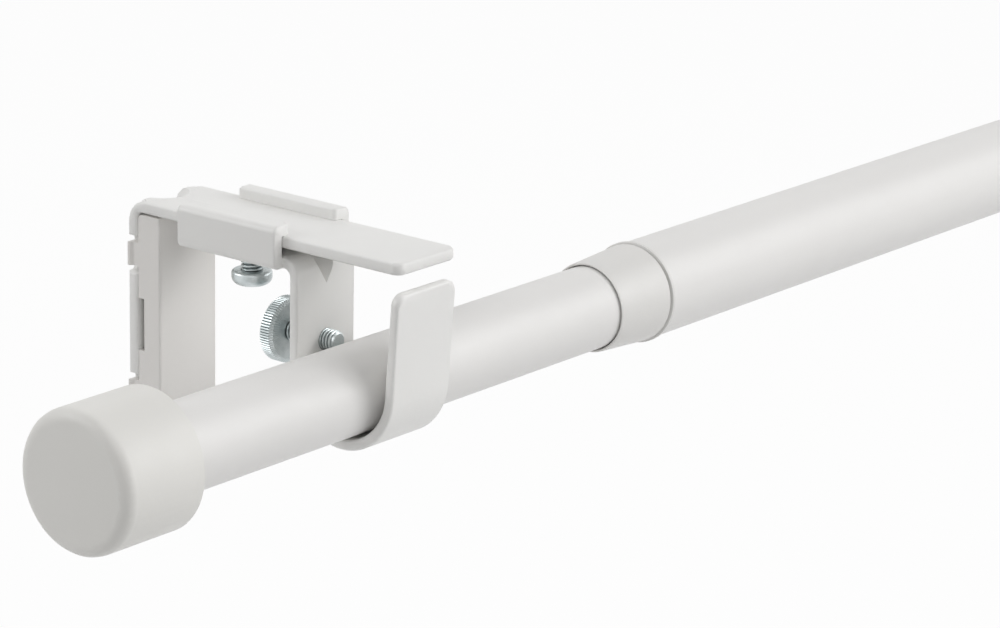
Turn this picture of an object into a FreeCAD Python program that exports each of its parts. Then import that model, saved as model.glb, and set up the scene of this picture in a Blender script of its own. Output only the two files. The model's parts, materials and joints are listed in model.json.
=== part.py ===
import FreeCAD, Part
import math
import os

from FreeCAD import Vector

os.makedirs("parts", exist_ok=True)

# Extendable curtain rod on two adjustable wall brackets. Sizes are in millimetres.
# X runs along the rod, the wall is the plane Y = 0 with the room on its -Y side, and Z is up.
# The origin is the middle of the left bracket's screw holes, on the wall.

# Telescopic rod
INNER_DIAMETER = 16.0
OUTER_DIAMETER = 19.0
TUBE_WALL = 0.6
INNER_LENGTH = 628.0
OUTER_LENGTH = 652.0
TUBE_EDGE = 0.15
COLLAR_LENGTH = 15.0
COLLAR_SLEEVE_LENGTH = 22.0
COLLAR_NOSE = 0.5
COLLAR_MOUTH = 0.25
COLLAR_MOUTH_DEPTH = 0.5
COLLAR_LIP = 0.2
COLLAR_TAPER = 0.8
COLLAR_FLANGE_LENGTH = 0.8
COLLAR_FLANGE_RISE = 0.35
COLLAR_FLANGE_SLOPE = 0.15
COLLAR_GROOVE = 0.35
GUIDE_EDGE = 0.4
GUIDE_RIM_LENGTH = 3.0
GUIDE_SHANK_LENGTH = 12.0
GUIDE_BORE_DIAMETER = 9.0
RUNNING_CLEARANCE = 0.08
SEAT_CLEARANCE = 0.05

# End caps
CAP_LENGTH = 18.35
CAP_EDGE_RADIUS = 2.2
CAP_EDGE_STEPS = 4
CAP_WALL = 1.4
CAP_GAP = 0.75
CAP_FACE = 3.5
CAP_SOCKET_WALL = 1.0
CAP_SOCKET_RECESS = 0.8
CAP_RIB_COUNT = 6
CAP_RIB_WIDTH = 1.2
CAP_RIM_CHAMFER = 0.35

# Where the rod and the brackets stand
ROD_TO_WALL = 50.8
CAP_TO_LEFT_BRACKET = 55.15
LEFT_BRACKET_TO_COLLAR = 63.3
RIGHT_BRACKET_TO_CAP = 55.0

# Bent steel strip of the wall arm
STRIP_THICKNESS = 2.2
STRIP_WIDTH = 15.8
ARM_REACH = 64.45
LEG_HEIGHT = 44.5
LEG_END_TO_HOLES = 21.15
ARM_BEND_RADIUS = 1.0
ARM_BEND_OUTER_RADIUS = 4.3
STRIP_CORNER = 1.8
STRIP_EDGE = 0.4
WALL_HOLE_DIAMETER = 4.4
WALL_HOLE_SPACING = 24.0
NOTCH_HEIGHT = 6.5
NOTCH_DEPTH = 1.8
NOTCH_SPACING = 26.2
NOTCH_CORNER = 0.8
NOTCH_MOUTH_RADIUS = 1.0
DENT_REACH = 6.4
DENT_RADIUS = 5.6
DENT_SHELL = 1.5
DENT_RIM_SPACING = 9.0
DENT_RIM_RADIUS = 2.4
DENT_RIM_REACH = 1.8
DENT_RIM_BEND_RADIUS = 3.1

# Moulded cover over the wall leg
COVER_WIDTH = 15.0
COVER_HEAD_GAP = 0.45
COVER_FOOT_GAP = 0.3
COVER_DEPTH = 5.35
COVER_WALL = 1.2
COVER_CORNER = 0.45
TAB_HEIGHT = 4.4
TAB_BEAD = 0.5
COVER_SLOT_HEIGHT = 9.9
COVER_SLOT_DEPTH = 1.4

# Folded carriage that grips the strip and hooks under the rod
FOLD_THICKNESS = 2.0
CHANNEL_LENGTH = 23.5
CHANNEL_HEIGHT = 4.0
CHANNEL_SIDE_CLEARANCE = 0.2
CHANNEL_BEND_RADIUS = 0.3
CHANNEL_OUTER_RADIUS = 1.4
CHANNEL_CORNER = 1.6
CHANNEL_EDGE = 0.35
LIP_CORNER = 0.9
LIP_WIDTH = 4.1
GRIP_CLEARANCE = 0.03
HOOK_WIDTH = 15.6
HOOK_RADIUS = 10.1
HOOK_BEND_RADIUS = 1.4
HOOK_DROP = 18.3
HOOK_LIP_HEIGHT = 18.6
HOOK_LIP_LEAN = 3.7
HOOK_LIP_CORNER = 2.2
HOOK_EDGE = 0.4
GROOVE_REACH = 5.5
GROOVE_HALF_WIDTH = 3.5
GROOVE_SHELL = 1.6
REST_ANGLE = 12.0
REST_GAP = 0.28

# Screws
SCREW_DIAMETER = 4.0
THREAD_CLEARANCE = 0.05
SCREW_CHAMFER = 0.5
SET_HEAD_DIAMETER = 7.4
SET_HEAD_HEIGHT = 2.8
SET_HEAD_CROWN = 0.9
SET_HEAD_TOP_DIAMETER = 5.0
SET_SCREW_LENGTH = 7.9
SET_SCREW_SETBACK = 17.8
SET_SCREW_GAP = 0.3
CROSS_WIDTH = 0.9
CROSS_LENGTH = 4.0
CROSS_DEPTH = 1.4
KNOB_DIAMETER = 12.0
KNOB_THICKNESS = 3.0
KNOB_CHAMFER = 0.45
KNOB_RIDGES = 72
KNOB_RIDGE_DEPTH = 0.25
THUMB_SCREW_LENGTH = 10.9
THUMB_SCREW_HEIGHT = 4.4

# Heights and distances that follow from the sizes above
INNER_RADIUS = INNER_DIAMETER / 2
OUTER_RADIUS = OUTER_DIAMETER / 2
OUTER_BORE_RADIUS = OUTER_RADIUS - TUBE_WALL
CAP_RADIUS = OUTER_RADIUS + SEAT_CLEARANCE + CAP_SOCKET_WALL + CAP_GAP + CAP_WALL
SCREW_RADIUS = SCREW_DIAMETER / 2
STRIP_TOP = LEG_HEIGHT - LEG_END_TO_HOLES
STRIP_UNDERSIDE = STRIP_TOP - STRIP_THICKNESS
BASE_TOP = STRIP_TOP + GRIP_CLEARANCE - CHANNEL_HEIGHT
BASE_UNDERSIDE = BASE_TOP - FOLD_THICKNESS
HOOK_CENTRE_Z = BASE_UNDERSIDE - HOOK_DROP
CUT_MARGIN = 1.0
X_AXIS = Vector(1, 0, 0)
Y_AXIS = Vector(0, 1, 0)
Z_AXIS = Vector(0, 0, 1)


def rest_offset(tube_radius):
    """Place of a resting tube's axis, seen from the centre of the hook's curl."""
    distance = HOOK_RADIUS - tube_radius - REST_GAP
    angle = math.radians(REST_ANGLE)
    return distance * math.sin(angle), -distance * math.cos(angle)


ROD_Y = -ROD_TO_WALL
ROD_Z = HOOK_CENTRE_Z + rest_offset(INNER_RADIUS)[1]
COLLAR_X = LEFT_BRACKET_TO_COLLAR
OUTER_START_X = COLLAR_X + COLLAR_LENGTH
OUTER_END_X = OUTER_START_X + OUTER_LENGTH
CAP_GRIP = CAP_LENGTH - CAP_FACE
INNER_START_X = -CAP_TO_LEFT_BRACKET - CAP_GRIP
INNER_END_X = INNER_START_X + INNER_LENGTH
RIGHT_CAP_X = OUTER_END_X - CAP_GRIP
RIGHT_BRACKET_X = RIGHT_CAP_X - RIGHT_BRACKET_TO_CAP


def rounded_box(size, corner, centre, axis):
    """Box of the given X, Y and Z size whose four edges along the axis are rounded."""
    box = Part.makeBox(size.x, size.y, size.z, centre - size / 2)
    return round_edges(box, corner, lambda edge: is_along(edge, axis))


def is_along(edge, axis):
    """Whether an edge is a straight line along the axis."""
    if not isinstance(edge.Curve, Part.Line):
        return False
    return abs(abs(edge.Curve.Direction.dot(axis)) - 1) < 1e-6


def round_edges(solid, radius, wanted):
    """The solid with every wanted edge rounded to the radius."""
    return solid.makeFillet(radius, [edge for edge in solid.Edges if wanted(edge)])


def bend_line(y, z):
    """Picks the edge along X that passes through the given Y and Z."""
    def wanted(edge):
        point = edge.Vertexes[0]
        return is_along(edge, X_AXIS) and abs(point.Y - y) < 1e-6 and abs(point.Z - z) < 1e-6

    return wanted


def prism(points, width):
    """Prism along X, centred on X = 0, over an outline given as (y, z) points."""
    corners = [Vector(-width / 2, y, z) for y, z in points]
    outline = Part.makePolygon(corners + corners[:1])
    return Part.Face(outline).extrude(Vector(width, 0, 0))


def turned(profile, base, axis):
    """Solid of revolution over a closed profile of (distance along the axis, radius) points."""
    across = Vector(0, 0, 1) if abs(axis.z) < 0.5 else Vector(1, 0, 0)
    corners = [base + axis * along + across * radius for along, radius in profile]
    face = Part.Face(Part.makePolygon(corners + corners[:1]))
    return face.revolve(base, axis, 360)


def ring(start_x, length, outer_radius, bore_radius, edge):
    """Tube along the rod's axis with its four rims broken by a small chamfer."""
    profile = [
        (0, bore_radius + edge),
        (0, outer_radius - edge),
        (edge, outer_radius),
        (length - edge, outer_radius),
        (length, outer_radius - edge),
        (length, bore_radius + edge),
        (length - edge, bore_radius),
        (edge, bore_radius),
    ]
    return turned(profile, Vector(start_x, ROD_Y, ROD_Z), X_AXIS)


def bent_sheet_edges(side_x, size, solid):
    """The solid with the long edges of its sheet, on both sides, broken by a chamfer."""
    def on_side(edge):
        return all(abs(abs(vertex.X) - side_x) < 1e-6 for vertex in edge.Vertexes)

    return solid.makeChamfer(size, [edge for edge in solid.Edges if on_side(edge)])


# Rod


def inner_tube():
    return ring(INNER_START_X, INNER_LENGTH, INNER_RADIUS, INNER_RADIUS - TUBE_WALL, TUBE_EDGE)


def outer_tube():
    return ring(OUTER_START_X, OUTER_LENGTH, OUTER_RADIUS, OUTER_BORE_RADIUS, TUBE_EDGE)


def collar():
    """Tapered ring with a flange against the outer tube and a sleeve pressed inside it."""
    bore = INNER_RADIUS + RUNNING_CLEARANCE
    sleeve = OUTER_BORE_RADIUS - SEAT_CLEARANCE
    flange = OUTER_RADIUS + COLLAR_FLANGE_RISE
    face = COLLAR_LENGTH - SEAT_CLEARANCE
    flange_start = COLLAR_LENGTH - COLLAR_FLANGE_LENGTH
    end = COLLAR_LENGTH + COLLAR_SLEEVE_LENGTH
    profile = [
        (COLLAR_MOUTH_DEPTH, bore),
        (0, bore + COLLAR_MOUTH),
        (0, bore + COLLAR_MOUTH + COLLAR_LIP),
        (COLLAR_NOSE, OUTER_RADIUS - COLLAR_TAPER),
        (flange_start - COLLAR_GROOVE, OUTER_RADIUS),
        (flange_start - COLLAR_GROOVE, sleeve),
        (flange_start, sleeve),
        (flange_start, OUTER_RADIUS),
        (flange_start + COLLAR_FLANGE_SLOPE, flange),
        (face, flange),
        (face, sleeve),
        (end, sleeve),
        (end, bore),
    ]
    return turned(profile, Vector(COLLAR_X, ROD_Y, ROD_Z), X_AXIS)


def inner_tube_guide():
    """Plug in the hidden end of the inner tube, whose rim glides inside the outer tube."""
    rim = OUTER_BORE_RADIUS - RUNNING_CLEARANCE
    shank = INNER_RADIUS - TUBE_WALL - SEAT_CLEARANCE
    bore = GUIDE_BORE_DIAMETER / 2
    profile = [
        (-GUIDE_SHANK_LENGTH, bore),
        (-GUIDE_SHANK_LENGTH, shank),
        (SEAT_CLEARANCE, shank),
        (SEAT_CLEARANCE, rim),
        (GUIDE_RIM_LENGTH - GUIDE_EDGE, rim),
        (GUIDE_RIM_LENGTH, rim - GUIDE_EDGE),
        (GUIDE_RIM_LENGTH, bore),
    ]
    return turned(profile, Vector(INNER_END_X, ROD_Y, ROD_Z), X_AXIS)


def end_cap(tube_radius):
    """Moulded cap along +X, open at X = 0: a shell with a ribbed socket for the tube."""
    inside = CAP_RADIUS - CAP_WALL
    floor = CAP_LENGTH - CAP_FACE
    bore = tube_radius + SEAT_CLEARANCE
    socket = bore + CAP_SOCKET_WALL
    stop = floor + SEAT_CLEARANCE
    rounding_x = CAP_LENGTH - CAP_EDGE_RADIUS
    rounding_radius = CAP_RADIUS - CAP_EDGE_RADIUS
    rounded_edge = []
    for step in range(CAP_EDGE_STEPS + 1):
        angle = math.pi / 2 * step / CAP_EDGE_STEPS
        along = rounding_x + CAP_EDGE_RADIUS * math.sin(angle)
        rounded_edge.append((along, rounding_radius + CAP_EDGE_RADIUS * math.cos(angle)))
    profile = [
        (0, inside),
        (0, CAP_RADIUS - CAP_RIM_CHAMFER),
        (CAP_RIM_CHAMFER, CAP_RADIUS),
        *rounded_edge,
        (CAP_LENGTH, 0),
        (stop, 0),
        (stop, bore),
        (CAP_SOCKET_RECESS, bore),
        (CAP_SOCKET_RECESS, socket),
        (floor, socket),
        (floor, inside),
    ]
    cap = turned(profile, Vector(0, 0, 0), X_AXIS)
    rib_span = inside - socket + 2 * SEAT_CLEARANCE
    for index in range(CAP_RIB_COUNT):
        rib = Part.makeBox(
            floor - 2 * CAP_SOCKET_RECESS,
            CAP_RIB_WIDTH,
            rib_span,
            Vector(2 * CAP_SOCKET_RECESS, -CAP_RIB_WIDTH / 2, socket - SEAT_CLEARANCE),
        )
        rib.rotate(Vector(0, 0, 0), X_AXIS, 360 * index / CAP_RIB_COUNT)
        cap = cap.fuse(rib)
    return cap.removeSplitter()


# Wall bracket, drawn at the left bracket's place


def bent_strip(width, outer_radius):
    """The strip as an L: the leg on the wall and the arm above it, joined by a bend."""
    leg_end = -LEG_END_TO_HOLES
    outline = [
        (0, leg_end),
        (0, STRIP_TOP),
        (-ARM_REACH, STRIP_TOP),
        (-ARM_REACH, STRIP_UNDERSIDE),
        (-STRIP_THICKNESS, STRIP_UNDERSIDE),
        (-STRIP_THICKNESS, leg_end),
    ]
    strip = prism(outline, width)
    strip = round_edges(strip, outer_radius, bend_line(0, STRIP_TOP))
    inner_corner = bend_line(-STRIP_THICKNESS, STRIP_UNDERSIDE)
    return round_edges(strip, ARM_BEND_RADIUS, inner_corner)


def cylinder_across_bend(radius, depth, x):
    """Cylinder at 45 degrees across the bend, with its axis at a depth below the corner."""
    inward = Vector(0, -1, -1).normalize()
    along = Vector(0, -1, 1).normalize()
    length = 4 * LEG_HEIGHT
    start = Vector(x, 0, STRIP_TOP) + inward * depth - along * (length / 2)
    return Part.makeCylinder(radius, length, start, along)


def pressed_bend(arm):
    """The arm with a dent pressed into its bend: a rib inside and a raised rim on each side."""
    face_width = STRIP_WIDTH - 2 * STRIP_EDGE
    middle_y = -STRIP_THICKNESS / 2
    middle_z = STRIP_TOP - STRIP_THICKNESS / 2
    inside = prism(
        [
            (middle_y, middle_z),
            (-ARM_REACH, middle_z),
            (-ARM_REACH, -LEG_END_TO_HOLES),
            (middle_y, -LEG_END_TO_HOLES),
        ],
        face_width,
    )
    dent_depth = DENT_REACH / math.sqrt(2) - DENT_RADIUS
    rib = cylinder_across_bend(DENT_RADIUS + DENT_SHELL, dent_depth, 0)
    arm = arm.fuse(rib.common(inside))
    sharper_bend = bent_strip(face_width, DENT_RIM_BEND_RADIUS)
    rim_depth = DENT_RIM_REACH / math.sqrt(2) + DENT_RIM_RADIUS
    for side in (-1, 1):
        rim = cylinder_across_bend(DENT_RIM_RADIUS, rim_depth, side * DENT_RIM_SPACING / 2)
        arm = arm.fuse(rim.common(sharper_bend))
    return arm.cut(cylinder_across_bend(DENT_RADIUS, dent_depth, 0))


def notch(centre):
    """Rounded slot in the strip's edge whose mouth widens in two convex curves."""
    through = 3 * STRIP_THICKNESS
    slot = rounded_box(Vector(2 * NOTCH_DEPTH, through, NOTCH_HEIGHT), NOTCH_CORNER, centre, Y_AXIS)
    mouth_height = NOTCH_HEIGHT + 2 * NOTCH_MOUTH_RADIUS
    mouth = Vector(2 * NOTCH_MOUTH_RADIUS, through, mouth_height)
    slot = slot.fuse(Part.makeBox(mouth.x, mouth.y, mouth.z, centre - mouth / 2))
    for side in (-1, 1):
        for level in (-1, 1):
            away = Vector(side * NOTCH_MOUTH_RADIUS, -through, level * mouth_height / 2)
            post = Part.makeCylinder(NOTCH_MOUTH_RADIUS, 2 * through, centre + away, Y_AXIS)
            slot = slot.cut(post)
    return slot


def wall_arm():
    """Steel strip bent down at the wall, with holes, cover notches and a dent in its bend."""
    half = STRIP_WIDTH / 2

    def at_free_end(edge):
        front = is_along(edge, Z_AXIS) and abs(edge.Vertexes[0].Y + ARM_REACH) < 1e-6
        foot = is_along(edge, Y_AXIS) and abs(edge.Vertexes[0].Z + LEG_END_TO_HOLES) < 1e-6
        return front or foot

    arm = bent_strip(STRIP_WIDTH, ARM_BEND_OUTER_RADIUS)
    arm = round_edges(arm, STRIP_CORNER, at_free_end)
    arm = bent_sheet_edges(half, STRIP_EDGE, arm)
    arm = pressed_bend(arm)
    for side in (-1, 1):
        for level in (-1, 1):
            centre = Vector(side * half, -STRIP_THICKNESS / 2, level * NOTCH_SPACING / 2)
            arm = arm.cut(notch(centre))
    for level in (-1, 1):
        start = Vector(0, CUT_MARGIN, level * WALL_HOLE_SPACING / 2)
        depth = STRIP_THICKNESS + 2 * CUT_MARGIN
        arm = arm.cut(Part.makeCylinder(WALL_HOLE_DIAMETER / 2, depth, start, -Y_AXIS))
    return arm.removeSplitter()


def wall_cover():
    """Moulded U section over the wall leg, held by four tabs that pass through the notches."""
    half = COVER_WIDTH / 2
    back = -STRIP_THICKNESS - SEAT_CLEARANCE
    front = -STRIP_THICKNESS - COVER_DEPTH
    foot = COVER_FOOT_GAP - LEG_END_TO_HOLES
    head = STRIP_UNDERSIDE - COVER_HEAD_GAP
    height = head - foot
    shell = Part.makeBox(COVER_WIDTH, back - front, height, Vector(-half, front, foot))

    def on_front(edge):
        on_face = all(abs(vertex.Y - front) < 1e-6 for vertex in edge.Vertexes)
        at_head = all(abs(vertex.Z - head) < 1e-6 for vertex in edge.Vertexes)
        return on_face and not at_head

    shell = round_edges(shell, COVER_CORNER, on_front)
    shell = round_edges(shell, ARM_BEND_RADIUS, bend_line(back, head))
    hollow = Part.makeBox(
        COVER_WIDTH - 2 * COVER_WALL,
        COVER_DEPTH,
        height,
        Vector(-half + COVER_WALL, front + COVER_WALL, foot + COVER_WALL),
    )
    cover = shell.cut(hollow)
    for side in (-1, 1):
        outside = side * half
        for level in (-1, 1):
            tab_foot = level * NOTCH_SPACING / 2 - TAB_HEIGHT / 2
            outline = [
                Vector(outside, back - COVER_WALL, tab_foot),
                Vector(outside, -STRIP_THICKNESS / 2, tab_foot),
                Vector(outside + side * TAB_BEAD, -STRIP_THICKNESS / 4, tab_foot),
                Vector(outside + side * TAB_BEAD, -SEAT_CLEARANCE, tab_foot),
                Vector(outside - side * COVER_WALL, -SEAT_CLEARANCE, tab_foot),
                Vector(outside - side * COVER_WALL, back - COVER_WALL, tab_foot),
            ]
            face = Part.Face(Part.makePolygon(outline + outline[:1]))
            cover = cover.fuse(face.extrude(Vector(0, 0, TAB_HEIGHT)))
        slot = Part.makeBox(
            2 * COVER_WALL,
            COVER_SLOT_DEPTH + CUT_MARGIN,
            COVER_SLOT_HEIGHT,
            Vector(outside - COVER_WALL, back - COVER_SLOT_DEPTH, -COVER_SLOT_HEIGHT / 2),
        )
        cover = cover.cut(slot)
    return cover.removeSplitter()


def groove_wedge(face_y, top_z, reach, half_width):
    """Four-sided wedge with its corner on the leg's face line and its ridge at 45 degrees."""
    low = Vector(0, face_y, top_z - reach)
    rear = Vector(0, face_y + reach, top_z)
    left = Vector(-half_width, face_y, top_z)
    right = Vector(half_width, face_y, top_z)
    triangles = ((low, left, right), (rear, right, left), (low, rear, left), (low, right, rear))
    faces = [Part.Face(Part.makePolygon([a, b, c, a])) for a, b, c in triangles]
    return Part.makeSolid(Part.makeShell(faces))


def hook_curl(face_y):
    """Leg, curl and front lip of the hook, from one strip, with the flat base behind it."""
    t = FOLD_THICKNESS
    centre_y = face_y - HOOK_RADIUS
    centre_z = HOOK_CENTRE_Z
    lean = math.radians(HOOK_LIP_LEAN)
    end_angle = -math.pi + lean
    middle_angle = end_angle / 2
    base_rear = face_y + t + HOOK_BEND_RADIUS + CHANNEL_LENGTH - CHANNEL_CORNER

    def on_arc(radius, angle):
        return (centre_y + radius * math.cos(angle), centre_z + radius * math.sin(angle))

    inner_end = on_arc(HOOK_RADIUS, end_angle)
    outer_end = on_arc(HOOK_RADIUS + t, end_angle)
    rise = (HOOK_LIP_HEIGHT + HOOK_RADIUS * math.sin(lean)) / math.cos(lean)
    step_y = -rise * math.sin(lean)
    step_z = rise * math.cos(lean)
    inner_tip = (inner_end[0] + step_y, inner_end[1] + step_z)
    outer_tip = (outer_end[0] + step_y, outer_end[1] + step_z)

    def place(point):
        return Vector(-HOOK_WIDTH / 2, point[0], point[1])

    def line(start, end):
        return Part.makeLine(place(start), place(end))

    def arc(radius, start, end):
        middle = place(on_arc(radius, middle_angle))
        return Part.Arc(place(start), middle, place(end)).toShape()

    outline = Part.Wire([
        line((base_rear, BASE_TOP), (face_y, BASE_TOP)),
        line((face_y, BASE_TOP), (face_y, centre_z)),
        arc(HOOK_RADIUS, (face_y, centre_z), inner_end),
        line(inner_end, inner_tip),
        line(inner_tip, outer_tip),
        line(outer_tip, outer_end),
        arc(HOOK_RADIUS + t, outer_end, (face_y + t, centre_z)),
        line((face_y + t, centre_z), (face_y + t, BASE_UNDERSIDE)),
        line((face_y + t, BASE_UNDERSIDE), (base_rear, BASE_UNDERSIDE)),
        line((base_rear, BASE_UNDERSIDE), (base_rear, BASE_TOP)),
    ])
    curl = Part.Face(outline).extrude(Vector(HOOK_WIDTH, 0, 0))

    curl = round_edges(curl, HOOK_BEND_RADIUS + t, bend_line(face_y, BASE_TOP))
    curl = round_edges(curl, HOOK_BEND_RADIUS, bend_line(face_y + t, BASE_UNDERSIDE))
    across_sheet = Vector(0, math.cos(lean), math.sin(lean))

    def at_tip(edge):
        high = all(vertex.Z > centre_z + HOOK_LIP_HEIGHT - t for vertex in edge.Vertexes)
        return high and is_along(edge, across_sheet) and edge.Vertexes[0].Y < centre_y

    curl = round_edges(curl, HOOK_LIP_CORNER, at_tip)
    return bent_sheet_edges(HOOK_WIDTH / 2, HOOK_EDGE, curl)


def carriage_channel(front_y):
    """Part of the base whose sides fold up and over the strip's two edges."""
    t = FOLD_THICKNESS
    inside = STRIP_WIDTH / 2 + CHANNEL_SIDE_CLEARANCE
    outside = inside + t
    lip = outside - LIP_WIDTH
    lip_z = BASE_TOP + CHANNEL_HEIGHT
    half_outline = [
        (lip, lip_z + t),
        (lip, lip_z),
        (inside, lip_z),
        (inside, BASE_TOP),
    ]
    outer_half = [
        (outside, BASE_UNDERSIDE),
        (outside, lip_z + t),
    ]
    right_side = half_outline[::-1]
    left_side = [(-x, z) for x, z in half_outline]
    points = right_side + outer_half[::-1] + [(-x, z) for x, z in outer_half] + left_side
    corners = [Vector(x, front_y, z) for x, z in points]
    outline = Part.makePolygon(corners + corners[:1])
    channel = Part.Face(outline).extrude(Vector(0, CHANNEL_LENGTH, 0))

    def at_fold(x_wanted):
        def wanted(edge):
            return is_along(edge, Y_AXIS) and abs(abs(edge.Vertexes[0].X) - x_wanted) < 1e-6
        return wanted

    channel = round_edges(channel, CHANNEL_BEND_RADIUS, at_fold(inside))
    channel = round_edges(channel, CHANNEL_OUTER_RADIUS, at_fold(outside))

    def at_lip_corner(edge):
        return is_along(edge, Z_AXIS) and abs(abs(edge.Vertexes[0].X) - lip) < 1e-6

    channel = round_edges(channel, LIP_CORNER, at_lip_corner)
    rear_y = front_y + CHANNEL_LENGTH

    def on_end(edge):
        at_front = all(abs(vertex.Y - front_y) < 1e-6 for vertex in edge.Vertexes)
        at_rear = all(abs(vertex.Y - rear_y) < 1e-6 for vertex in edge.Vertexes)
        flange = all(abs(vertex.X) > inside - CHANNEL_BEND_RADIUS - 1e-6 for vertex in edge.Vertexes)
        outer = all(abs(vertex.X) > inside + t / 2 for vertex in edge.Vertexes)
        return (at_front or at_rear) and flange and outer

    return channel.makeChamfer(CHANNEL_EDGE, [edge for edge in channel.Edges if on_end(edge)])


def hook(face_y):
    """Carriage folded from one blank: channel, base, gusseted bend, leg, curl and lip."""
    front_y = face_y + FOLD_THICKNESS + HOOK_BEND_RADIUS
    carriage = hook_curl(face_y).fuse(carriage_channel(front_y))
    rib_reach = GROOVE_REACH + math.sqrt(2) * GROOVE_SHELL - 2 * FOLD_THICKNESS
    rib = groove_wedge(
        face_y + FOLD_THICKNESS,
        BASE_UNDERSIDE,
        rib_reach,
        GROOVE_HALF_WIDTH,
    )
    carriage = carriage.fuse(rib)
    carriage = carriage.cut(groove_wedge(face_y, BASE_TOP, GROOVE_REACH, GROOVE_HALF_WIDTH))
    hole = SCREW_RADIUS + THREAD_CLEARANCE
    depth = FOLD_THICKNESS + 2 * CUT_MARGIN
    thumb_z = HOOK_CENTRE_Z + THUMB_SCREW_HEIGHT
    thumb_start = Vector(0, face_y - CUT_MARGIN, thumb_z)
    carriage = carriage.cut(Part.makeCylinder(hole, depth, thumb_start, Y_AXIS))
    set_start = Vector(0, face_y + SET_SCREW_SETBACK, BASE_UNDERSIDE - CUT_MARGIN)
    carriage = carriage.cut(Part.makeCylinder(hole, depth, set_start, Z_AXIS))
    return carriage.removeSplitter()


def set_screw(face_y):
    """Pan-head screw from below, just loosened, that presses the strip against the lips."""
    tip = STRIP_UNDERSIDE - SET_SCREW_GAP
    head_z = tip - SET_SCREW_LENGTH
    radius = SET_HEAD_DIAMETER / 2
    profile = [
        (-SET_SCREW_LENGTH, 0),
        (-SET_SCREW_LENGTH, SCREW_RADIUS - SCREW_CHAMFER),
        (-SET_SCREW_LENGTH + SCREW_CHAMFER, SCREW_RADIUS),
        (0, SCREW_RADIUS),
        (0, radius),
        (SET_HEAD_HEIGHT - SET_HEAD_CROWN, radius),
        (SET_HEAD_HEIGHT, SET_HEAD_TOP_DIAMETER / 2),
        (SET_HEAD_HEIGHT, 0),
    ]
    base = Vector(0, face_y + SET_SCREW_SETBACK, head_z)
    screw = turned(profile, base, -Z_AXIS)
    cross_z = head_z - SET_HEAD_HEIGHT
    for size in (Vector(CROSS_LENGTH, CROSS_WIDTH, 0), Vector(CROSS_WIDTH, CROSS_LENGTH, 0)):
        corner = Vector(-size.x / 2, base.y - size.y / 2, cross_z - CUT_MARGIN)
        slot = Part.makeBox(size.x, size.y, CROSS_DEPTH + CUT_MARGIN, corner)
        screw = screw.cut(slot)
    return screw


def thumb_screw(face_y, tube_radius):
    """Knurled screw through the leg, whose chamfered tip stops just short of the tube."""
    height = THUMB_SCREW_HEIGHT - rest_offset(tube_radius)[1]
    lowest = height - SCREW_RADIUS
    tube_y = face_y - HOOK_RADIUS + rest_offset(tube_radius)[0]
    edge_touch = math.sqrt(tube_radius ** 2 - (lowest + SCREW_CHAMFER) ** 2)
    side_touch = math.sqrt(tube_radius ** 2 - lowest ** 2) - SCREW_CHAMFER
    tip_y = tube_y + max(edge_touch, side_touch) + REST_GAP
    base = Vector(0, tip_y + THUMB_SCREW_LENGTH, HOOK_CENTRE_Z + THUMB_SCREW_HEIGHT)
    radius = KNOB_DIAMETER / 2
    root = radius - KNOB_RIDGE_DEPTH
    band_end = KNOB_THICKNESS - KNOB_CHAMFER
    profile = [
        (-THUMB_SCREW_LENGTH, 0),
        (-THUMB_SCREW_LENGTH, SCREW_RADIUS - SCREW_CHAMFER),
        (-THUMB_SCREW_LENGTH + SCREW_CHAMFER, SCREW_RADIUS),
        (0, SCREW_RADIUS),
        (0, root - KNOB_CHAMFER),
        (KNOB_CHAMFER, root),
        (band_end, root),
        (KNOB_THICKNESS, root - KNOB_CHAMFER),
        (KNOB_THICKNESS, 0),
    ]
    screw = turned(profile, base, Y_AXIS)
    corners = []
    for index in range(2 * KNOB_RIDGES):
        reach = radius if index % 2 == 0 else root
        angle = math.pi * index / KNOB_RIDGES
        around = Vector(reach * math.cos(angle), KNOB_CHAMFER, reach * math.sin(angle))
        corners.append(base + around)
    star = Part.Face(Part.makePolygon(corners + corners[:1]))
    knurl = star.extrude(Vector(0, band_end - KNOB_CHAMFER, 0))
    return screw.fuse(knurl).removeSplitter()


# Assembly


def moved(shape, x, z):
    """The shape moved from the left bracket's place along the wall and up."""
    copy = shape.copy()
    copy.translate(Vector(x, 0, z))
    return copy


def bracket(side, x, tube_radius):
    """One bracket's pieces, with its carriage set so that the rod runs along the rod's axis."""
    dy, dz = rest_offset(tube_radius)
    face_y = ROD_Y - dy + HOOK_RADIUS
    z = ROD_Z - (HOOK_CENTRE_Z + dz)
    return {
        f"wall_arm_{side}": moved(wall_arm(), x, z),
        f"wall_cover_{side}": moved(wall_cover(), x, z),
        f"hook_{side}": moved(hook(face_y), x, z),
        f"set_screw_{side}": moved(set_screw(face_y), x, z),
        f"thumb_screw_{side}": moved(thumb_screw(face_y, tube_radius), x, z),
    }


def rod():
    """The two tubes with their collar, guide and end caps."""
    right_cap = end_cap(OUTER_RADIUS)
    right_cap.translate(Vector(RIGHT_CAP_X, ROD_Y, ROD_Z))
    left_cap = end_cap(INNER_RADIUS)
    left_cap.rotate(Vector(0, 0, 0), Z_AXIS, 180)
    left_cap.translate(Vector(-CAP_TO_LEFT_BRACKET, ROD_Y, ROD_Z))
    return {
        "inner_tube": inner_tube(),
        "inner_tube_guide": inner_tube_guide(),
        "outer_tube": outer_tube(),
        "collar": collar(),
        "end_cap_left": left_cap,
        "end_cap_right": right_cap,
    }


pieces = rod()
pieces.update(bracket("left", 0, INNER_RADIUS))
pieces.update(bracket("right", RIGHT_BRACKET_X, OUTER_RADIUS))
for node, shape in pieces.items():
    shape.exportStep(f"parts/{node}.step")
    print(node, len(shape.Solids), "valid" if shape.isValid() else "INVALID", round(shape.Volume, 1))
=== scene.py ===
import json
import math

import bpy
from mathutils import Matrix, Vector

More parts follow.
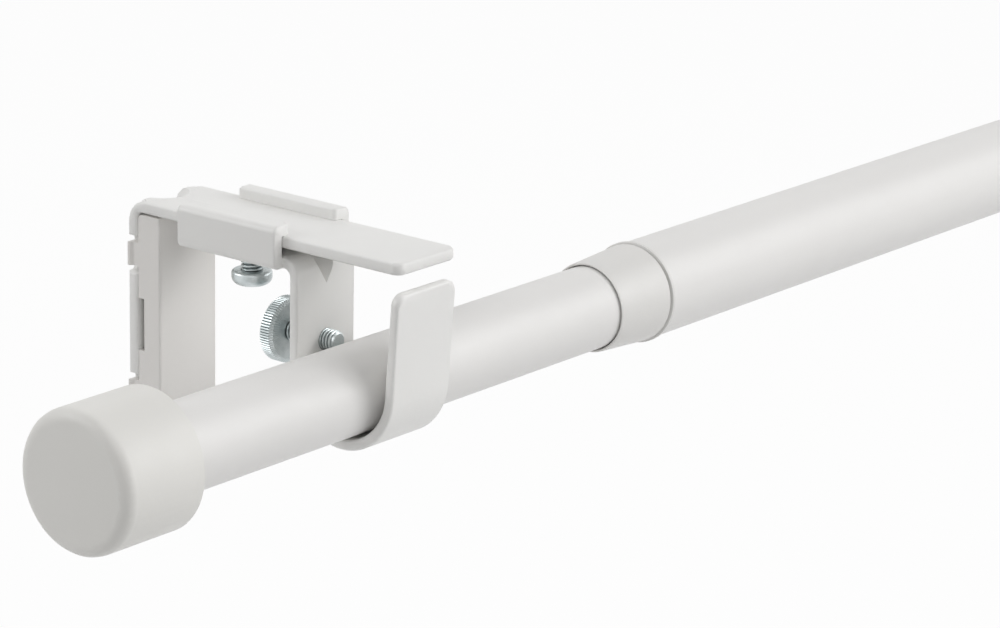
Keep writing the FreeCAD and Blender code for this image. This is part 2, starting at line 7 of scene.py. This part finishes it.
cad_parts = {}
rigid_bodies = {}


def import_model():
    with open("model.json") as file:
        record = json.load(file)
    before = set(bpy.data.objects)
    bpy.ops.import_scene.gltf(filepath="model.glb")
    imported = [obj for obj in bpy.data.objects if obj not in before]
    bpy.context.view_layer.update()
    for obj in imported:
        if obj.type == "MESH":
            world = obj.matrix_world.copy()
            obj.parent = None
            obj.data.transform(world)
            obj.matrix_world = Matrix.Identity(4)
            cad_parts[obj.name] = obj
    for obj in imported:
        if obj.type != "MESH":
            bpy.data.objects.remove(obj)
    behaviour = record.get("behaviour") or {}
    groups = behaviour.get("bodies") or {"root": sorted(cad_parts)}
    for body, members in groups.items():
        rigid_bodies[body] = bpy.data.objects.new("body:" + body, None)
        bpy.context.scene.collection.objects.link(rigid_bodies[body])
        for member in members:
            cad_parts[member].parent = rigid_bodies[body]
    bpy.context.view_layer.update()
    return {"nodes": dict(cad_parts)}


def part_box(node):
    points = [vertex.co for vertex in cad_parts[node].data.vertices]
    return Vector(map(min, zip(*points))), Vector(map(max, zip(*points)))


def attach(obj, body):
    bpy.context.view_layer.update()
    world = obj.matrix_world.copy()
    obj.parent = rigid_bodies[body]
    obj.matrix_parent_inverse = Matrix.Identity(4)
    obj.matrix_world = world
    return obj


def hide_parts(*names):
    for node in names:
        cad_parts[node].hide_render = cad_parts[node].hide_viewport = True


# Extendable curtain rod on two wall brackets. Everything is in metres, in the frame's own axes.

for leftover in list(bpy.data.objects):
    bpy.data.objects.remove(leftover)

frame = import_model()

MM = 0.001

# Camera, looking past the left bracket along the rod
CAMERA_PLACE = Vector((-0.50215, -0.4809, 0.2087))
CAMERA_YAW = math.radians(38.57)
CAMERA_PITCH = math.radians(16.69)
CAMERA_ROLL = math.radians(1.18)
FOCAL_PIXELS = 3927
IMAGE_WIDTH = 1000
SENSOR = 36.0
NEAREST_SEEN = 0.01
FARTHEST_SEEN = 100

# Screws with a metric 4 mm thread
THREAD_RADIUS = 2.0 * MM
THREAD_PITCH = 0.7 * MM
THREAD_DEPTH = 0.40 * MM
THREAD_ROWS = 10
THREAD_SEGMENTS = 48
THREAD_ROOT = 0.16
THREAD_FLANK = 0.48
TIP_CHAMFER = 0.5 * MM
AXIS_RADIUS = 0.01 * MM
KNOB_THICKNESS = 3.0 * MM
KNOB_CHAMFER = 0.45 * MM
KNOB_RIDGES = 72
KNOB_SEGMENTS = 6 * KNOB_RIDGES
KNOB_RIDGE_SLOPE = 2.2
KNOB_RIDGE_DEPTH = 0.25 * MM
KNOB_RECESS = 0.35 * MM
KNOB_RECESS_TOP = 0.72
KNOB_RECESS_FLOOR = 0.68
HEAD_HEIGHT = 2.8 * MM
HEAD_RIM = 0.6 * MM
HEAD_CROWN = 1.5 * MM
HEAD_FLAT_RADIUS = 1.6 * MM
HEAD_FULLNESS = 0.8
HEAD_OVERLAP = 0.5 * MM
HEAD_STEPS = 10
CROSS_DEPTH = 1.4 * MM
CROSS_ABOVE = 0.2 * MM
CROSS_REACH = (0.9 * MM, 2.1 * MM)
CROSS_HALF_WIDTH = (0.3 * MM, 0.46 * MM)
SHARP_ANGLE = math.radians(35)
# Reach of the painted shade that darkens the zinc in its grooves and recesses
PAINTED_SHADE_REACH = 0.4 * MM

# Surface grain, as counts of waves per metre
TONE_SCALE = 38
SPECK_SCALE = 2600
SHEEN_SCALE = 260
TURNING_SCALE = 900
CLOUD_SCALE = 700
SCRATCH_SCALE = 4200
PLATING_DEPTH = 0.006 * MM
PLASTIC_IOR = 1.5

# Shading of the frame's own nodes
WELD_DISTANCE = 1e-6
FACE_AREA_WEIGHT = 80

# Stage and lights
FLOOR_Z = -0.30
FLOOR_SIZE = 12.0
FLOOR_GREY = 0.85
FLOOR_GLOW = 0.96
ROOM_LIGHT = 0.06
LAMP_TARGET = Vector((0.1, -0.03, 0.0))


# Camera


def make_camera():
    look = Vector((
        math.cos(CAMERA_YAW) * math.cos(CAMERA_PITCH),
        math.sin(CAMERA_YAW) * math.cos(CAMERA_PITCH),
        -math.sin(CAMERA_PITCH),
    ))
    right = Vector((math.sin(CAMERA_YAW), -math.cos(CAMERA_YAW), 0))
    up = right.cross(look)
    rolled_right = right * math.cos(CAMERA_ROLL) + up * math.sin(CAMERA_ROLL)
    rolled_up = up * math.cos(CAMERA_ROLL) - right * math.sin(CAMERA_ROLL)
    data = bpy.data.cameras.new("camera")
    data.sensor_width = SENSOR
    data.lens = FOCAL_PIXELS / IMAGE_WIDTH * SENSOR
    data.clip_start = NEAREST_SEEN
    data.clip_end = FARTHEST_SEEN
    camera = bpy.data.objects.new("camera", data)
    bpy.context.scene.collection.objects.link(camera)
    matrix = Matrix((rolled_right, rolled_up, -look)).transposed().to_4x4()
    matrix.translation = CAMERA_PLACE
    camera.matrix_world = matrix
    bpy.context.scene.camera = camera


# Materials


class Nodes:
    """Small helper that adds and links the shader nodes of one material or world."""

    def __init__(self, owner, output="ShaderNodeOutputMaterial"):
        owner.use_nodes = True
        self.tree = owner.node_tree
        self.tree.nodes.clear()
        self.output = self.add(output)

    def add(self, kind, **inputs):
        node = self.tree.nodes.new(kind)
        for name, value in inputs.items():
            self.put(node, name.replace("_", " "), value)
        return node

    def put(self, node, socket, value):
        if isinstance(value, bpy.types.NodeSocket):
            self.tree.links.new(value, node.inputs[socket])
        else:
            node.inputs[socket].default_value = value

    def math(self, operation, *values):
        node = self.add("ShaderNodeMath")
        node.operation = operation
        for socket, value in enumerate(values):
            self.put(node, socket, value)
        return node.outputs[0]

    def noise(self, place, scale, detail, roughness=0.5):
        node = self.add(
            "ShaderNodeTexNoise", Vector=place, Scale=scale, Detail=detail, Roughness=roughness
        )
        return node.outputs["Fac"]

    def spread(self, value, low, high, start=0.3, end=0.7):
        node = self.add(
            "ShaderNodeMapRange",
            Value=value,
            From_Min=start,
            From_Max=end,
            To_Min=low,
            To_Max=high,
        )
        return node.outputs["Result"]

    def blend(self, factor, first, second):
        node = self.add("ShaderNodeMix")
        node.data_type = "RGBA"
        self.put(node, "Factor", factor)
        colours = [socket for socket in node.inputs if socket.type == "RGBA"]
        for socket, colour in zip(colours, (first, second)):
            if isinstance(colour, bpy.types.NodeSocket):
                self.tree.links.new(colour, socket)
            else:
                socket.default_value = (*colour, 1)
        return [socket for socket in node.outputs if socket.type == "RGBA"][0]

    def sum(self, parts):
        total = 0.0
        for value, weight in parts:
            total = self.math("MULTIPLY_ADD", value, weight, total)
        return total

    def bump(self, height, distance):
        node = self.add("ShaderNodeBump", Strength=1.0, Distance=distance, Height=height)
        return node.outputs["Normal"]

    def seen_directly(self):
        """1 for rays from the camera, off a shiny surface or through a clear one, else 0."""
        paths = self.add("ShaderNodeLightPath").outputs
        seen = self.math("MAXIMUM", paths["Is Camera Ray"], paths["Is Glossy Ray"])
        return self.math("MAXIMUM", seen, paths["Is Transmission Ray"])


def coated(name, colour, shade, roughness, grain, peel, depth, stretch=(1, 1, 1)):
    """Painted or moulded surface with a fine grain, a soft waviness and faint tone changes."""
    material = bpy.data.materials.new(name)
    nodes = Nodes(material)
    place = nodes.add("ShaderNodeTexCoord").outputs["Object"]
    along = nodes.add("ShaderNodeMapping", Vector=place, Scale=stretch).outputs["Vector"]
    tone = nodes.noise(place, TONE_SCALE, 3)
    specks = nodes.noise(place, SPECK_SCALE, 2)
    mixed = nodes.sum([(tone, 0.8), (specks, 0.2)])
    fine = nodes.noise(along, grain, 2)
    waves = nodes.noise(along, peel, 1)
    rough = nodes.noise(place, SHEEN_SCALE, 3)
    height = nodes.sum([(fine, 0.35), (waves, 1.0)])
    surface = nodes.add(
        "ShaderNodeBsdfPrincipled",
        Base_Color=nodes.blend(nodes.spread(mixed, 0, 1), colour, shade),
        Roughness=nodes.spread(rough, *roughness),
        IOR=PLASTIC_IOR,
        Normal=nodes.bump(height, depth),
    )
    nodes.put(nodes.output, "Surface", surface.outputs[0])
    return material


def plated(name, colour, shade, painted_groove_shade):
    """Bright zinc plating with faint turning marks, cloudy stains and painted shade that darkens
    its grooves.
    """
    material = bpy.data.materials.new(name)
    nodes = Nodes(material)
    place = nodes.add("ShaderNodeTexCoord").outputs["Object"]
    rings = nodes.add(
        "ShaderNodeTexWave", Vector=place, Scale=TURNING_SCALE, Distortion=1.2, Detail=2.0
    )
    rings.wave_type = "RINGS"
    rings.rings_direction = "Z"
    clouds = nodes.noise(place, CLOUD_SCALE, 4, 0.6)
    scratches = nodes.noise(place, SCRATCH_SCALE, 2)
    height = nodes.sum([(rings.outputs["Fac"], 0.5), (scratches, 0.5)])
    # Painted shade: ambient occlusion darkens the base colour towards the third colour in thread
    # roots, knurl grooves and the cross recess.
    openness_for_painted_shade = nodes.add("ShaderNodeAmbientOcclusion", Distance=PAINTED_SHADE_REACH).outputs["AO"]
    bright = nodes.blend(nodes.spread(clouds, 0, 1), colour, shade)
    surface = nodes.add(
        "ShaderNodeBsdfPrincipled",
        Metallic=1.0,
        Base_Color=nodes.blend(nodes.spread(openness_for_painted_shade, 0, 1, 0.45, 0.9), painted_groove_shade, bright),
        Roughness=nodes.spread(clouds, 0.32, 0.45),
        Normal=nodes.bump(height, PLATING_DEPTH),
    )
    nodes.put(nodes.output, "Surface", surface.outputs[0])
    return material


# Frame nodes kept as they are


def dress(node, material, smooth_angle):
    """Gives a frame node its material and shades its small chamfers as rounded edges."""
    piece = frame["nodes"][node]
    piece.data.materials.clear()
    piece.data.materials.append(material)
    weld = piece.modifiers.new("weld", "WELD")
    weld.merge_threshold = WELD_DISTANCE
    split = piece.modifiers.new("split", "EDGE_SPLIT")
    split.use_edge_sharp = False
    split.split_angle = math.radians(smooth_angle)
    normals = piece.modifiers.new("normals", "WEIGHTED_NORMAL")
    normals.weight = FACE_AREA_WEIGHT
    normals.keep_sharp = False


# Screws


def link_mesh(name, points, faces):
    mesh = bpy.data.meshes.new(name)
    mesh.from_pydata(points, [], faces)
    mesh.validate()
    piece = bpy.data.objects.new(name, mesh)
    bpy.context.scene.collection.objects.link(piece)
    return piece


def smooth(mesh):
    for polygon in mesh.polygons:
        polygon.use_smooth = True
    mesh.set_sharp_from_angle(angle=SHARP_ANGLE)


def turned_mesh(name, stations, segments, shape):
    """Closed mesh round local Z; shape(z, angle, radius) gives the radius at each point."""
    points = []
    for z, radius in stations:
        for step in range(segments):
            angle = 2 * math.pi * step / segments
            reach = shape(z, angle, radius)
            points.append((reach * math.cos(angle), reach * math.sin(angle), z))
    faces = []
    for row in range(len(stations) - 1):
        for step in range(segments):
            following = (step + 1) % segments
            low = row * segments
            high = low + segments
            faces.append((low + step, low + following, high + following, high + step))
    last = (len(stations) - 1) * segments
    faces.append(tuple(reversed(range(segments))))
    faces.append(tuple(range(last, last + segments)))
    piece = link_mesh(name, points, faces)
    smooth(piece.data)
    return piece


def threaded_shank(name, end):
    """Shank from its tip at local Z = 0, whose helical thread starts at the tip's chamfer."""
    def shape(z, angle, radius):
        if z <= 0:
            return radius
        phase = (z / THREAD_PITCH - angle / (2 * math.pi)) % 1.0
        ridge = 1 - abs(2 * phase - 1)
        ridge = min(1.0, max(0.0, (ridge - THREAD_ROOT) / THREAD_FLANK))
        reach = THREAD_RADIUS - THREAD_DEPTH * (1 - ridge)
        return min(reach, THREAD_RADIUS - TIP_CHAMFER + z)

    rows = int(end / THREAD_PITCH * THREAD_ROWS)
    stations = [(0.0, AXIS_RADIUS), (0.0, THREAD_RADIUS - TIP_CHAMFER)]
    stations += [(end * row / rows, THREAD_RADIUS) for row in range(1, rows + 1)]
    return turned_mesh(name, stations, THREAD_SEGMENTS, shape)


def joined(name, pieces, material):
    """One object from several meshes that share a local frame."""
    for piece in bpy.context.selected_objects:
        piece.select_set(False)
    for piece in pieces:
        piece.select_set(True)
    bpy.context.view_layer.objects.active = pieces[0]
    bpy.ops.object.join()
    whole = pieces[0]
    whole.name = name
    whole.data.materials.clear()
    whole.data.materials.append(material)
    return whole


def cut(piece, cutter):
    """Cuts the cutter's volume out of the piece's mesh and deletes the cutter."""
    boolean = piece.modifiers.new("cut", "BOOLEAN")
    boolean.operation = "DIFFERENCE"
    boolean.solver = "EXACT"
    boolean.object = cutter
    bpy.context.view_layer.update()
    graph = bpy.context.evaluated_depsgraph_get()
    mesh = bpy.data.meshes.new_from_object(piece.evaluated_get(graph))
    piece.modifiers.clear()
    piece.data = mesh
    bpy.data.objects.remove(cutter)
    smooth(mesh)


def stand_in(piece, node, place, turn):
    """Puts a detailed screw in the place of its frame node, moving with it."""
    piece.matrix_world = Matrix.Translation(place) @ turn
    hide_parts(node)
    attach(piece, node)


def thumb_screw(side, material):
    """Knurled thumb screw: its knob at the wall side, its thread towards the rod."""
    node = f"thumb_screw_{side}"
    low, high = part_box(node)
    length = high.y - low.y
    start = length - KNOB_THICKNESS
    root = (high.z - low.z) / 2 - KNOB_RIDGE_DEPTH
    band_start = start + KNOB_CHAMFER
    band_end = length - KNOB_CHAMFER

    def knurl(z, angle, radius):
        if z < band_start or z > band_end or radius < root:
            return radius
        phase = (angle * KNOB_RIDGES / (2 * math.pi)) % 1.0
        ridge = min(1.0, KNOB_RIDGE_SLOPE * (1 - abs(2 * phase - 1)))
        return root + KNOB_RIDGE_DEPTH * ridge

    stations = [
        (start, AXIS_RADIUS),
        (start, root - KNOB_CHAMFER),
        (band_start, root),
        (band_end, root),
        (length, root - KNOB_CHAMFER),
        (length, KNOB_RECESS_TOP * root),
        (length - KNOB_RECESS, KNOB_RECESS_FLOOR * root),
        (length - KNOB_RECESS, AXIS_RADIUS),
    ]
    knob = turned_mesh(node + "_knob", stations, KNOB_SEGMENTS, knurl)
    shank = threaded_shank(node + "_shank", start)
    whole = joined(node + "_threaded", [knob, shank], material)
    centre = (low + high) / 2
    turn = Matrix.Rotation(-math.pi / 2, 4, "X")
    stand_in(whole, node, (centre.x, low.y, centre.z), turn)


def cross_cutter(top):
    """Tapered cross whose arms narrow towards the bottom of a screwdriver recess."""
    levels = list(zip((top - CROSS_DEPTH, top + CROSS_ABOVE), CROSS_REACH, CROSS_HALF_WIDTH))
    faces = [(0, 1, 2, 3), (7, 6, 5, 4), (0, 4, 5, 1), (1, 5, 6, 2), (2, 6, 7, 3), (3, 7, 4, 0)]
    arms = []
    for turned in (False, True):
        points = []
        for z, reach, half in levels:
            corners = [(-reach, -half), (-reach, half), (reach, half), (reach, -half)]
            if turned:
                corners = [(-y, x) for x, y in corners]
            points += [(x, y, z) for x, y in corners]
        arms.append(link_mesh("cross", points, faces))
    return arms


def set_screw(side, material):
    """Pan-head screw under the carriage, with its thread up towards the arm."""
    node = f"set_screw_{side}"
    low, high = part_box(node)
    length = high.z - low.z
    start = length - HEAD_HEIGHT
    radius = (high.x - low.x) / 2
    crown_start = start + HEAD_HEIGHT - HEAD_CROWN
    stations = [(start, AXIS_RADIUS)]
    for step in range(HEAD_STEPS + 1):
        angle = math.pi / 2 * step / HEAD_STEPS
        reach = radius - HEAD_RIM * (1 - math.sin(angle))
        stations.append((start + HEAD_RIM * (1 - math.cos(angle)), reach))
    for step in range(HEAD_STEPS + 1):
        angle = math.pi / 2 * step / HEAD_STEPS
        reach = HEAD_FLAT_RADIUS + (radius - HEAD_FLAT_RADIUS) * math.cos(angle) ** HEAD_FULLNESS
        stations.append((crown_start + HEAD_CROWN * math.sin(angle), reach))
    stations.append((length, AXIS_RADIUS))
    head = turned_mesh(node + "_head", stations, THREAD_SEGMENTS, lambda z, angle, reach: reach)
    for cutter in cross_cutter(length):
        cut(head, cutter)
    shank = threaded_shank(node + "_shank", start + HEAD_OVERLAP)
    whole = joined(node + "_threaded", [head, shank], material)
    centre = (low + high) / 2
    turn = Matrix.Rotation(math.pi, 4, "X")
    stand_in(whole, node, (centre.x, centre.y, high.z), turn)


# Stage and lights


def make_floor():
    """White paper floor that shows the rod's soft shadow."""
    half = FLOOR_SIZE / 2
    corners = [(-half, -half), (half, -half), (half, half), (-half, half)]
    floor = link_mesh("floor", [(x, y, FLOOR_Z) for x, y in corners], [(0, 1, 2, 3)])
    material = bpy.data.materials.new("paper")
    nodes = Nodes(material)
    paper = nodes.add("ShaderNodeBsdfDiffuse", Color=(FLOOR_GREY, FLOOR_GREY, FLOOR_GREY, 1))
    glow = nodes.add("ShaderNodeEmission", Strength=1.0)
    mix = nodes.add("ShaderNodeMixShader")
    nodes.put(mix, 0, nodes.math("MULTIPLY", nodes.seen_directly(), FLOOR_GLOW))
    nodes.put(mix, 1, paper.outputs[0])
    nodes.put(mix, 2, glow.outputs[0])
    nodes.put(nodes.output, "Surface", mix.outputs[0])
    floor.data.materials.append(material)


def make_world():
    world = bpy.data.worlds.new("studio")
    bpy.context.scene.world = world
    nodes = Nodes(world, "ShaderNodeOutputWorld")
    room = nodes.add("ShaderNodeBackground", Color=(1, 1, 1, 1), Strength=ROOM_LIGHT)
    backdrop = nodes.add("ShaderNodeBackground", Color=(1, 1, 1, 1), Strength=1.0)
    mix = nodes.add("ShaderNodeMixShader")
    nodes.put(mix, 0, nodes.seen_directly())
    nodes.put(mix, 1, room.outputs[0])
    nodes.put(mix, 2, backdrop.outputs[0])
    nodes.put(nodes.output, "Surface", mix.outputs[0])


def make_lamp(name, place, size, power):
    data = bpy.data.lights.new(name, "AREA")
    data.shape = "RECTANGLE"
    data.size, data.size_y = size
    data.energy = power
    lamp = bpy.data.objects.new(name, data)
    bpy.context.scene.collection.objects.link(lamp)
    lamp.location = place
    lamp.rotation_euler = (LAMP_TARGET - Vector(place)).to_track_quat("-Z", "Y").to_euler()


# Scene

bpy.context.scene.view_settings.view_transform = "Standard"
make_camera()

steel = coated(
    "powder_coat", (0.87, 0.865, 0.845), (0.84, 0.835, 0.82), (0.34, 0.44), 3400, 900, 0.012 * MM
)
tube = coated(
    "tube_paint", (0.83, 0.82, 0.805), (0.81, 0.80, 0.785), (0.40, 0.48), 2400, 500, 0.006 * MM,
    stretch=(0.25, 1, 1),
)
plastic = coated(
    "moulded_plastic", (0.805, 0.795, 0.765), (0.775, 0.765, 0.735), (0.42, 0.52), 5200, 1400,
    0.010 * MM,
)
cover_plastic = coated(
    "cover_plastic", (0.83, 0.81, 0.785), (0.80, 0.78, 0.755), (0.44, 0.55), 5200, 1400,
    0.010 * MM,
)
collar_plastic = coated(
    "collar_plastic", (0.78, 0.77, 0.75), (0.76, 0.75, 0.73), (0.38, 0.46), 5200, 1400,
    0.008 * MM,
)
# The last colour is the painted shade in the screws' grooves, thread roots and cross recess.
zinc = plated("zinc", (0.64, 0.68, 0.685), (0.51, 0.56, 0.565), (0.25, 0.28, 0.285))

for side in ("left", "right"):
    dress(f"hook_{side}", steel, 50)
    dress(f"wall_arm_{side}", steel, 50)
    dress(f"wall_cover_{side}", cover_plastic, 40)
    dress(f"end_cap_{side}", plastic, 50)
    thumb_screw(side, zinc)
    set_screw(side, zinc)
dress("inner_tube", tube, 50)
dress("outer_tube", tube, 50)
dress("inner_tube_guide", plastic, 50)
dress("collar", collar_plastic, 40)

make_floor()
make_world()
make_lamp("right", (1.6, -1.2, 1.2), (1.4, 1.0), 11.7)
make_lamp("front", (1.0, -1.8, 0.6), (1.6, 0.9), 13.2)
make_lamp("above", (0.0, -0.9, 1.6), (2.0, 1.2), 12.0)
make_lamp("camera_side", (-1.4, -1.2, 1.1), (1.2, 1.0), 4.6)
make_lamp("back", (0.2, 1.3, 1.3), (2.0, 1.0), 7.2)
make_lamp("back_left", (-1.3, 1.3, 0.9), (1.2, 1.0), 15.0)
